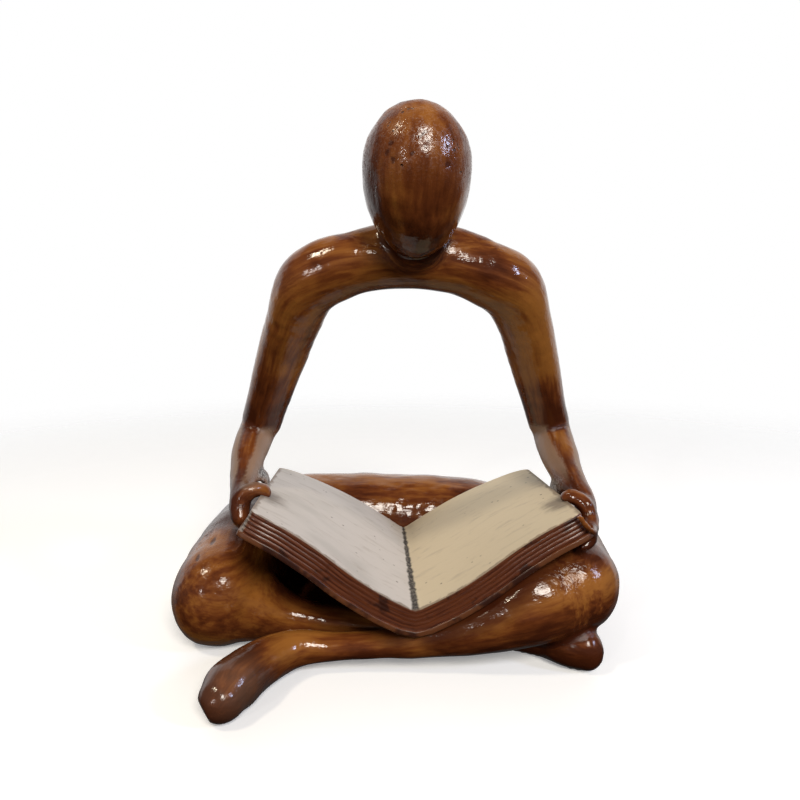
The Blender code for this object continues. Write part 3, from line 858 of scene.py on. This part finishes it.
class Leaves:
    """The open pages as a surface: slope added up along the width, for every place along the spine."""

    # Slopes of each page at the front and at the back, and how far the wave and the bow lift them, in degrees.
    LEFT = (33.5, 28.5)
    RIGHT = (31.0, 26.5)
    WAVE = 6.0
    BOW = 7.0
    # How much lower the fold is at the back.
    GUTTER_DROP = 1.2 * MM
    # Steps of the sum along the width.
    STEPS = 48

    def __init__(self, sizes):
        self.width = sizes.page_width
        self.length = sizes.page_length
        self.thickness = sizes.thickness
        self.gutter = sizes.gutter_width
        self.front = (np.array(GUTTER_FRONT) + FOOTPRINT_SHIFT) * MM

    def slope(self, share, back, side):
        """Slope in radians at a share of the width from the gutter.

        At the front a lazy S, slope - WAVE * cos(2 pi share); at the back a bow, slope + BOW * cos(pi share);
        the two are blended by back, and the slope grows from nothing across half the gutter.
        """
        front_slope, back_slope = (np.where(side < 0, a, b) for a, b in zip(self.LEFT, self.RIGHT))
        wave = front_slope - self.WAVE * np.cos(2 * math.pi * share)
        bow = back_slope + self.BOW * np.cos(math.pi * share)
        into_gutter = np.clip(share * self.width / (0.5 * self.gutter), 0.0, 1.0)
        return np.radians((wave + (bow - wave) * back) * into_gutter)

    def at(self, side, share, back):
        """Points and normals for arrays of side (-1 or 1), share of the width and place along the spine.

        Out and up are the integrals of cos(slope) and sin(slope) over the share, by Simpson's rule from the gutter
        to each point.
        """
        side, share, back = np.broadcast_arrays(*(np.asarray(a, dtype=float) for a in (side, share, back)))
        weights = np.ones(self.STEPS + 1)
        weights[1:-1:2] = 4.0
        weights[2:-1:2] = 2.0
        weights /= 3.0 * self.STEPS
        ticks = np.linspace(0.0, 1.0, self.STEPS + 1)
        slope = self.slope(share[..., None] * ticks, back[..., None], side[..., None])
        reach = share * self.width
        out = reach * (np.cos(slope) @ weights)
        up = reach * (np.sin(slope) @ weights)
        here = slope[..., -1]
        points = np.stack([side * out, back * self.length, up - back * self.GUTTER_DROP], -1) + self.front
        normals = np.stack([-side * np.sin(here), np.zeros_like(here), np.cos(here)], -1)
        return points, normals

    def beside_edge(self, side, rows, offset=0.0):
        """Rows of a hand's table, moved by offset along the spine, as rows of a tube at the page's outer edge."""
        along, out, above, radius = np.array(rows).T
        back = (along + HOLD[side] + offset) * MM / self.length
        points, normals = self.at(side, 1.0, back)
        slope = self.slope(1.0, back, side)
        outward = np.stack([side * np.cos(slope), np.zeros_like(slope), np.sin(slope)], -1)
        middle = points + outward * (out * MM)[:, None] + normals * (above * self.thickness)[:, None]
        return np.column_stack([middle, radius * MM, radius * MM])


# The figure.


def hand_tubes(leaves, side, forearm):
    """Rows and level of each tube of a hand: the forearm with its palm, the thumb over the page, three fingers under
    the cover and the flat web of glue behind the hand, and on the right two fingers at the front corner."""
    arm = in_metres(forearm)
    yield np.vstack([arm, leaves.beside_edge(side, PALM[side])]), LEVEL
    yield leaves.beside_edge(side, THUMB[side]), LENGTHWISE
    for offset in FINGER_OFFSETS:
        yield leaves.beside_edge(side, FINGER, offset), LENGTHWISE
    web_end = (*arm[-1, :3], WEB_HALF_THICKNESS, WEB_HALF_THICKNESS)
    web = np.vstack([leaves.beside_edge(side, GLUE_WEB[side]), web_end])
    web[:, 4] *= WEB_SPREAD
    yield web, LENGTHWISE
    if side > 0:
        for finger in RIGHT_FINGERS:
            yield leaves.beside_edge(side, finger), LEVEL


def spread(edges, values, passes):
    """Average each vertex's value with its neighbours', a number of times."""
    count = np.zeros(len(values))
    np.add.at(count, edges[:, 0], 1.0)
    np.add.at(count, edges[:, 1], 1.0)
    shape = (-1,) + (1,) * (values.ndim - 1)
    for _ in range(passes):
        total = np.zeros_like(values)
        np.add.at(total, edges[:, 0], values[edges[:, 1]])
        np.add.at(total, edges[:, 1], values[edges[:, 0]])
        values = 0.5 * values + 0.5 * total / count.reshape(shape)
    return values


def hollowness(points, normals, edges):
    """How concave the skin is at each vertex: the mean of its neighbours stands above it, along its normal."""
    mean = spread(edges, points, 3)
    return spread(edges, ((mean - points) * normals).sum(axis=1), 3)


def along_limbs(points, limbs):
    """Coordinates that follow the limbs: distance along, to the side of and above the nearest middle line.

    Each vertex takes a mean over the limbs, weighted by exp(-sharpness * distance / radius), so that the streaks
    turn smoothly from one limb into the next. A limb's coordinates are multiplied by its pace.
    """
    total = np.zeros((len(points), 3))
    weight_sum = np.zeros(len(points))
    for rows, level, pace in limbs:
        curve = flowing(rows)
        along, side, above, distance = travel(curve, level)
        nearest = squared_gaps(points, curve[:, :3]).argmin(axis=1)
        offset = points - curve[nearest, :3]
        radius = np.sqrt(curve[nearest, 3] * curve[nearest, 4])
        weight = np.exp(-GRAIN_SHARPNESS * np.linalg.norm(offset, axis=1) / radius)
        local = np.stack([(offset * way[nearest]).sum(1) for way in (along, side, above)], axis=-1)
        local[:, 0] += distance[nearest]
        total += pace * local * weight[:, None]
        weight_sum += weight
    return total / weight_sum[:, None]


def squared_gaps(points, others):
    """The squared distance from each point to each other one: p.p + q.q - 2 p.q."""
    return (points**2).sum(1)[:, None] + (others**2).sum(1)[None] - 2 * points @ others.T


def beside_middle(points, rows):
    """How far each vertex lies to the left or right of a limb's middle line, in half widths of the limb."""
    curve = flowing(in_metres(rows))
    nearest = ((points[:, None] - curve[None, :, :3]) ** 2).sum(axis=2).argmin(axis=1)
    return np.abs(points[:, 0] - curve[nearest, 0]) / curve[nearest, 3]


def zone(points, steps):
    """From 0 to 1 inside a zone: the product of its smooth steps. The measure across is x without its sign."""
    measures = {"x": points[:, 0], "y": points[:, 1], "z": points[:, 2], "across": np.abs(points[:, 0])}
    inside = np.ones(len(points))
    for measure, start, end in steps:
        inside = inside * soft_step(measures[measure], start * MM, end * MM)
    return inside


def away_from(points, place):
    """From a place in millimetres of the drawing to each vertex."""
    return points - (np.array(place) + FOOTPRINT_SHIFT) * MM


def near(points, place, reach):
    """From 0 to 1 near a place, as exp(-(distance / reach)^2), with both in millimetres."""
    return np.exp(-(away_from(points, place) ** 2).sum(axis=1) / (reach * MM) ** 2)


def web_nearness(points, leaves):
    """From 0 to 1: how near each vertex lies to a web of glue, as exp(-(distance / reach)^4).

    The distance is to the web's line, carried on a little at both ends, with what lies along the book counted at
    less than half.
    """
    nearness = np.zeros(len(points))
    for side, rows in GLUE_WEB.items():
        line = leaves.beside_edge(side, rows)[:, :3]
        line = line[0] + (line[1] - line[0]) * np.linspace(-0.2, 1.3, 12)[:, None]
        away = (points[:, None] - line[None]) * np.array([1.0, 0.45, 1.0])
        distance = np.sqrt((away**2).sum(axis=2).min(axis=1))
        nearness = np.maximum(nearness, np.exp(-((distance / WEB_REACH) ** 4)))
    return nearness


def bubbles(points):
    """From 0 to 1 at each open bubble, as exp(-(distance / radius)^2), with depth counted at a quarter."""
    deep = np.zeros(len(points))
    for place in BUBBLES:
        away = away_from(points, place) * np.array([1.0, 0.25, 1.0])
        deep = np.maximum(deep, np.exp(-((away / BUBBLE_RADIUS) ** 2).sum(axis=1)))
    return deep


def under_cover(points, leaves):
    """From 0 to 1: how near each vertex lies to the underside of the book, as exp(-(distance / reach)^3)."""
    share = np.linspace(0.05, 1.0, 26)[None, :]
    back = np.linspace(0.0, 1.0, 30)[:, None]
    shade = np.zeros(len(points))
    for side in (-1.0, 1.0):
        below, normals = leaves.at(np.array([[side]]), share, back)
        below = (below - normals * leaves.thickness).reshape(-1, 3)
        for start in range(0, len(points), POINTS_AT_ONCE):
            some = slice(start, start + POINTS_AT_ONCE)
            away = np.sqrt(np.maximum(squared_gaps(points[some], below).min(axis=1), 0.0))
            shade[some] = np.maximum(shade[some], np.exp(-((away / COVER_SHADE_REACH) ** 3)))
    return shade


def flattened(points):
    """Press the left foot's end flat: what stands out past the end's plane keeps a sixth of that."""
    way = FLAT_END_WAY / np.linalg.norm(FLAT_END_WAY)
    away = away_from(points, FLAT_END)
    past = np.maximum(away @ way, 0.0) * soft_step(np.linalg.norm(away, axis=1), *FLAT_END_REACH)
    return points - FLAT_END_SHARE * past[:, None] * way


def fused_skin(shells, sizes):
    """One closed skin round all the shells: remeshed in voxels, then softened."""
    points = []
    faces = []
    for shell in shells:
        faces += closed_skin(shell, sum(len(p) for p in points))
        points.append(shell.reshape(-1, 3))
    points = np.vstack(points)
    points[:, 2] = np.maximum(points[:, 2], 0.0)
    piece = new_piece("cast_figure", points, faces, figure_lacquer(sizes))
    fuse = piece.modifiers.new("fuse", "REMESH")
    fuse.mode = "VOXEL"
    fuse.voxel_size = sizes.skin_voxel
    fuse.use_smooth_shade = True
    soften = piece.modifiers.new("soften", "SMOOTH")
    soften.factor = 0.5
    soften.iterations = sizes.skin_softening
    as_evaluated(piece)
    return piece


def read_skin(mesh):
    """A mesh's points, normals and edges as arrays."""
    points = np.empty((len(mesh.vertices), 3))
    mesh.vertices.foreach_get("co", points.ravel())
    normals = np.empty((len(mesh.vertices), 3), dtype=np.float32)
    mesh.vertex_normals.foreach_get("vector", normals.ravel())
    edges = np.empty((len(mesh.edges), 2), dtype=np.int32)
    mesh.edges.foreach_get("vertices", edges.ravel())
    return points, normals.astype(float), edges


def cast_relief(points, sizes, head_middle):
    """How far the casting stands out: low waves, a broken ridge near the crown, and lumps at the seat.

    It is lower at the hands, and nothing at the ground.
    """
    above_ridge = (points - head_middle)[:, 2] - RIDGE_PLACE * sizes.head_rise
    ridge = np.exp(-((above_ridge / RIDGE_REACH) ** 2)) * (0.5 + 0.5 * waves(points, 7 * MM, 5)) * RIDGE_HEIGHT
    relief = sizes.dent_depth * (waves(points, 15 * MM, 1) + 0.45 * waves(points, 6 * MM, 2)) + ridge
    relief += SEAT_LUMP * zone(points, SEAT) * waves(points, 3.4 * MM, 4)
    hands = np.exp(-((np.abs(points[:, 0]) - 62 * MM) / (9 * MM)) ** 2) * (points[:, 2] > 45 * MM)
    return relief * (1.0 - 0.6 * hands) * np.clip((points[:, 2] - 0.2 * MM) / (3 * MM), 0.0, 1.0)


def hollows_and_painted_sheen(points, hollow, bubble):
    """How hollow each vertex is, how much painted sheen it takes and how freckled with pits it is.

    The forearms take a pale painted reflection to the side of a wavering stripe, and a toe a fainter one.
    """
    to_side = np.minimum(beside_middle(points, LEFT_FOREARM), beside_middle(points, RIGHT_FOREARM))
    stripe = 0.28 + 0.10 * waves(points, 9 * MM, 9) + 0.18 * zone(points, UPPER_FOREARMS)
    # A pale painted reflection along the forearms' sides.
    painted_sheen = zone(points, FOREARMS) * soft_step(to_side, stripe, stripe + 0.14)
    painted_sheen = np.maximum(painted_sheen, 0.4 * near(points, *TOE_SHEEN))
    freckled = np.clip(zone(points, FRONT_OF_HEAD) + near(points, *PITTED_KNEE), 0.0, 1.0)
    return np.stack([hollow / HOLLOW_DARKENING_DEPTH + 2.0 * bubble, painted_sheen, freckled], -1)


def lacquer_tone(points, normals, leaves):
    """Painted shade under the book, nearness of glue, and coats of lacquer, with tops thinner and undersides thicker
    as painted light and shade.
    """
    lap = zone(points, LAP_UNDER_BOOK) * np.clip(0.5 + normals[:, 2], 0.0, 1.0)
    shaded = np.maximum(lap, under_cover(points, leaves) * zone(points, BELOW_COVER))
    # Painted light and shade: up-facing places lighter, down-facing ones darker.
    coats = -FACING_LIGHT_PAINTED * normals[:, 2]
    for amount, steps in COATS_OVER_ZONES:
        coats += amount * zone(points, steps)
    for place, reach, amount in COATS:
        coats += amount * near(points, place, reach)
    return np.stack([shaded, web_nearness(points, leaves), coats], -1)


def make_figure(sizes, book_sizes):
    """Fuse the limbs into one skin, give it the casting's relief, and mark its grain, hollows, painted sheen, pits and
    tone for the paint.
    """
    leaves = Leaves(book_sizes)
    body = (SHOULDERS, NAPE, NECK, HIPS_AND_THIGHS, UNDER_LEG, OVER_LEG, LAP)
    limbs = [(in_metres(rows), LEVEL, 1.0) for rows in body]
    for side, forearm in ((-1, LEFT_FOREARM), (1, RIGHT_FOREARM)):
        limbs += [(rows, level, 1.0) for rows, level in hand_tubes(leaves, side, forearm)]
    head_middle = (np.array(HEAD_MIDDLE) + FOOTPRINT_SHIFT) * MM
    shells = [tube(rows, level) for rows, level, _ in limbs]
    shells.append(egg(head_middle, sizes.head_half_width, sizes.head_rise, sizes.head_drop, sizes.head_lean))
    piece = fused_skin(shells, sizes)
    mesh = piece.data

    points, normals, edges = read_skin(mesh)
    hollow = hollowness(points, normals, edges)
    bubble = bubbles(points)
    relief = cast_relief(points, sizes, head_middle) - BUBBLE_DEPTH * bubble
    points = flattened(points + normals * relief[:, None])
    points[:, 2] = np.where(points[:, 2] < GROUND_HEIGHT, 0.0, points[:, 2])
    mesh.vertices.foreach_set("co", points.astype(np.float32).ravel())
    mesh.update()

    limbs.append((in_metres(HEAD_LINE), LENGTHWISE, 0.5))
    carry(mesh, "grain", along_limbs(points, limbs))
    carry(mesh, "hollows_sheen_pits", hollows_and_painted_sheen(points, hollow, bubble))
    carry(mesh, "tone", lacquer_tone(points, normals, leaves))
    mesh.shade_smooth()
    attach(piece, "root")
    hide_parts("figure")


# The book.


def edge_profile(sizes):
    """Depth below the page surface, inset from the cover's edge and the grooves' part in it, from rim to underside.

    Each layer's edge bulges by the groove depth times |sin| of its own depth to a power; the cover follows as a
    board that stands out by its lip, with rounded edges.
    """
    page_depth = sizes.thickness - sizes.cover_thickness
    turns = np.linspace(0.0, sizes.page_layers, sizes.page_layers * ROWS_A_LAYER + 1)[1:]
    bulge = np.abs(np.sin(math.pi * turns)) ** BULGE_POWER
    rim_depth, rim_inset = np.array(RIM_ROWS).T
    depth = np.concatenate([rim_depth, page_depth * turns / sizes.page_layers])
    inset = sizes.cover_lip + np.concatenate([rim_inset, sizes.groove_depth * (1.0 - bulge)])
    grooves = np.maximum(inset - sizes.cover_lip - rim_inset[-1], 0.0)

    turn = np.radians(np.linspace(0.0, 90.0, 5))
    rising, falling = (BOARD_ROUNDING * (1.0 - wave) for wave in (np.cos(turn), np.sin(turn)))
    board_depth = np.concatenate([page_depth + rising, sizes.thickness - falling])
    board_inset = np.concatenate([falling, rising])
    depth, inset = np.concatenate([depth, board_depth]), np.concatenate([inset, board_inset])
    return depth, inset, np.concatenate([grooves, np.zeros(len(board_depth))])


def rim_walk(rows, columns):
    """Row and column numbers once round the rim of a grid: front, right, back, left."""
    row_numbers = [np.zeros(columns, int), np.arange(1, rows), np.full(columns - 1, rows - 1)]
    column_numbers = [np.arange(columns), np.full(rows - 1, columns - 1), np.arange(columns - 2, -1, -1)]
    left = np.arange(rows - 2, 0, -1)
    return np.concatenate([*row_numbers, left]), np.concatenate([*column_numbers, np.zeros(len(left), int)])


def make_book(sizes):
    """Outlines round the open book at every depth of the profile, closed by the page sheet and the cover sheet.

    Along each row of a sheet the share runs from one outer edge over the gutter to the other; near the outer edges
    the rows are trimmed at both ends by part of a quarter circle.
    """
    leaves = Leaves(sizes)
    depths, insets, grooves = edge_profile(sizes)
    rows = np.linspace(0.0, 1.0, PAGE_ROWS + 1)

    width = leaves.width - insets[:, None]
    flat = np.linspace(0.0, 1.0, PAGE_COLUMNS, endpoint=False) ** COLUMN_CROWDING
    corner = np.sin(np.radians(np.linspace(0.0, 90.0, CORNER_COLUMNS)))
    reach = np.concatenate([flat * (width - sizes.corner), width - sizes.corner * (1.0 - corner)], axis=1)
    into_corner = np.clip(reach - (width - sizes.corner), 0.0, sizes.corner)
    trim = sizes.corner - np.sqrt(np.maximum(sizes.corner**2 - into_corner**2, 0.0))
    ends = insets[:, None] - grooves[:, None] * soft_step(reach / leaves.width, *GROOVE_FADE)
    start = (ends + FRONT_CORNER_SHARE * trim) / leaves.length
    stop = 1.0 - (ends + BACK_CORNER_SHARE * trim) / leaves.length

    side = np.repeat([-1.0, 1.0], (reach.shape[1] - 1, reach.shape[1]))
    reach, start, stop = (np.concatenate([a[:, :0:-1], a], axis=1) for a in (reach, start, stop))
    share = (reach / leaves.width)[:, None, :]
    back = start[:, None, :] + (stop - start)[:, None, :] * rows[None, :, None]
    levels, row_count, column_count = len(depths), len(rows), reach.shape[1]

    def leaf_points(sides, shares, backs, depth, drift=0.0):
        """Points at a depth below the pages, moved down by drift, and their leaf coordinates."""
        points, normals = leaves.at(sides, shares, backs)
        points = points - normals * (np.asarray(depth) + drift)[..., None]
        leaf = np.stack(np.broadcast_arrays(sides * shares, backs, depth / leaves.thickness), -1)
        return points.reshape(-1, 3), leaf.reshape(-1, 3)

    rim_rows, rim_columns = rim_walk(row_count, column_count)
    rim = rim_rows * column_count + rim_columns
    rim_side = side[rim_columns][None, :]
    rim_share = share[1:-1, 0, :][:, rim_columns]
    rim_back = back[1:-1].reshape(levels - 2, -1)[:, rim]
    rim_depth = depths[1:-1, None]
    surface = leaves.at(rim_side, rim_share, rim_back)[0]
    uneven = waves(surface.reshape(-1, 3), 9 * MM, 7).reshape(rim_back.shape)
    drift = WALL_DRIFT * uneven * np.clip(rim_depth / MM, 0.0, 1.0)

    top = leaf_points(side[None, :], share[0], back[0], depths[0])
    bottom = leaf_points(side[None, :], share[-1], back[-1], depths[-1])
    wall = leaf_points(rim_side, rim_share, rim_back, rim_depth, drift)
    points, leaf = (np.vstack(parts) for parts in zip(top, bottom, wall))

    number = np.arange(row_count * column_count).reshape(row_count, column_count)
    top_faces = np.stack([number[:-1, :-1], number[:-1, 1:], number[1:, 1:], number[1:, :-1]], -1).reshape(-1, 4)
    bottom_faces = top_faces[:, ::-1] + number.size
    around = 2 * number.size + np.arange((levels - 2) * len(rim)).reshape(levels - 2, len(rim))
    around = np.vstack([rim, around, rim + number.size])
    beside = np.roll(around, -1, axis=1)
    wall_faces = np.stack([around[:-1], around[1:], beside[1:], beside[:-1]], -1).reshape(-1, 4)
    faces = np.vstack([top_faces, bottom_faces, wall_faces]).tolist()
    piece = new_piece("open_book", points, faces, book_paint(sizes))
    carry(piece.data, "leaf", leaf)
    piece.data.set_sharp_from_angle(angle=SHARP_ANGLE)
    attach(piece, "root")
    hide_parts("book")


# The stage.


def make_floor(sizes):
    """A wide pale floor that stays out of reflections and of the light on the pieces."""
    corners = [(x * FLOOR_REACH, y * FLOOR_REACH, 0.0) for x, y in ((-1, -1), (1, -1), (1, 1), (-1, 1))]
    floor = new_piece("floor", corners, [(0, 1, 2, 3)], floor_paint(sizes.floor_paint))
    floor.visible_glossy = False
    floor.visible_diffuse = False


def light_surroundings(sizes):
    """The surroundings' light: bright behind the figure and dull in front of it, below and overhead.

    Its strength is the product of three smooth steps of the direction. The camera sees the surroundings plain
    white, as in a picture whose background was cut away.
    """
    world = bpy.data.worlds.new("surroundings")
    bpy.context.scene.world = world
    nodes = Nodes(world)
    axes = dict(zip("XYZ", nodes.parts(nodes.coordinates("Generated"))))
    front_back, below_level, overhead = (nodes.between(axes[axis], *limits) for axis, *limits in SURROUNDINGS)
    strength = front_back * below_level * overhead
    seen = nodes.node("ShaderNodeLightPath", {}, {}, "Is Camera Ray")
    level = nodes.node("ShaderNodeMix", {}, {"Factor": seen, "A": strength, "B": 1.0 / sizes.room_light})
    colour = (sizes.room_light, sizes.room_light, sizes.room_light, 1.0)
    background = nodes.node("ShaderNodeBackground", {}, {"Color": colour, "Strength": level})
    nodes.node("ShaderNodeOutputWorld", {}, {"Surface": background})


def hang_lamps(sizes):
    """Round lamps about the figure, all turned to one place."""
    for name, turn, climb, distance, size, power, colour in LAMPS:
        turn, climb = math.radians(turn), math.radians(climb)
        way = np.array([math.sin(turn) * math.cos(climb), -math.cos(turn) * math.cos(climb), math.sin(climb)])
        light = bpy.data.lights.new(name, "AREA")
        light.shape = "DISK"
        light.size = size
        light.energy = power * sizes.lamp_light
        light.color = colour
        lamp = bpy.data.objects.new(name, light)
        lamp.location = LAMP_AIM + way * distance
        lamp.rotation_euler = (0.5 * math.pi - climb, 0.0, turn)
        bpy.context.scene.collection.objects.link(lamp)


def set_camera(sizes):
    """The camera, at the photograph's viewing angle."""
    lens = bpy.data.cameras.new("camera")
    lens.lens = sizes.camera_lens
    lens.sensor_width = SENSOR_WIDTH
    lens.clip_start = VIEW_NEAR
    lens.clip_end = VIEW_FAR
    camera = bpy.data.objects.new("camera", lens)
    camera.location = sizes.camera_place
    camera.rotation_euler = sizes.camera_turn
    bpy.context.scene.collection.objects.link(camera)
    bpy.context.scene.camera = camera
    bpy.context.scene.view_settings.view_transform = "Standard"
    bpy.context.scene.view_settings.look = "None"


# Operators and panel.


class STATUE_OT_figure(bpy.types.Operator):
    """Make the cast figure in brushed lacquer"""

    bl_idname = "statue.figure"
    bl_label = "Cast Figure"

    def execute(self, context):
        sizes = context.scene.statue_sizes
        make_figure(sizes.figure, sizes.book)
        return {"FINISHED"}


class STATUE_OT_book(bpy.types.Operator):
    """Make the open book with its painted pages"""

    bl_idname = "statue.book"
    bl_label = "Open Book"

    def execute(self, context):
        make_book(context.scene.statue_sizes.book)
        return {"FINISHED"}


class STATUE_OT_stage(bpy.types.Operator):
    """Lay the floor and set the surroundings' light, the lamps and the camera"""

    bl_idname = "statue.stage"
    bl_label = "Stage"

    def execute(self, context):
        sizes = context.scene.statue_sizes.stage
        for make in (make_floor, light_surroundings, hang_lamps, set_camera):
            make(sizes)
        return {"FINISHED"}


class STATUE_PT_panel(bpy.types.Panel):
    """The statue's sizes, colours and operators"""

    bl_idname = "STATUE_PT_panel"
    bl_label = "Reading Figure"
    bl_space_type = "VIEW_3D"
    bl_region_type = "UI"
    bl_category = "Reading Figure"

    def draw(self, context):
        sizes = context.scene.statue_sizes
        groups = (("statue.figure", sizes.figure), ("statue.book", sizes.book), ("statue.stage", sizes.stage))
        for operator, group in groups:
            box = self.layout.box()
            box.operator(operator)
            for name in group.__annotations__:
                box.prop(group, name)


CLASSES = (
    FigureSizes,
    BookSizes,
    StageSizes,
    StatueSizes,
    STATUE_OT_figure,
    STATUE_OT_book,
    STATUE_OT_stage,
    STATUE_PT_panel,
)


def register():
    """Make the classes known and hang the sizes on the scene."""
    for item in CLASSES:
        bpy.utils.register_class(item)
    bpy.types.Scene.statue_sizes = PointerProperty(type=StatueSizes)


def unregister():
    """Take the sizes and the classes away again."""
    del bpy.types.Scene.statue_sizes
    for item in reversed(CLASSES):
        bpy.utils.unregister_class(item)


def main():
    """Make every piece."""
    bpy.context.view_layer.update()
    register()
    bpy.ops.statue.figure()
    bpy.ops.statue.book()
    bpy.ops.statue.stage()


if __name__ == "__main__":
    main()
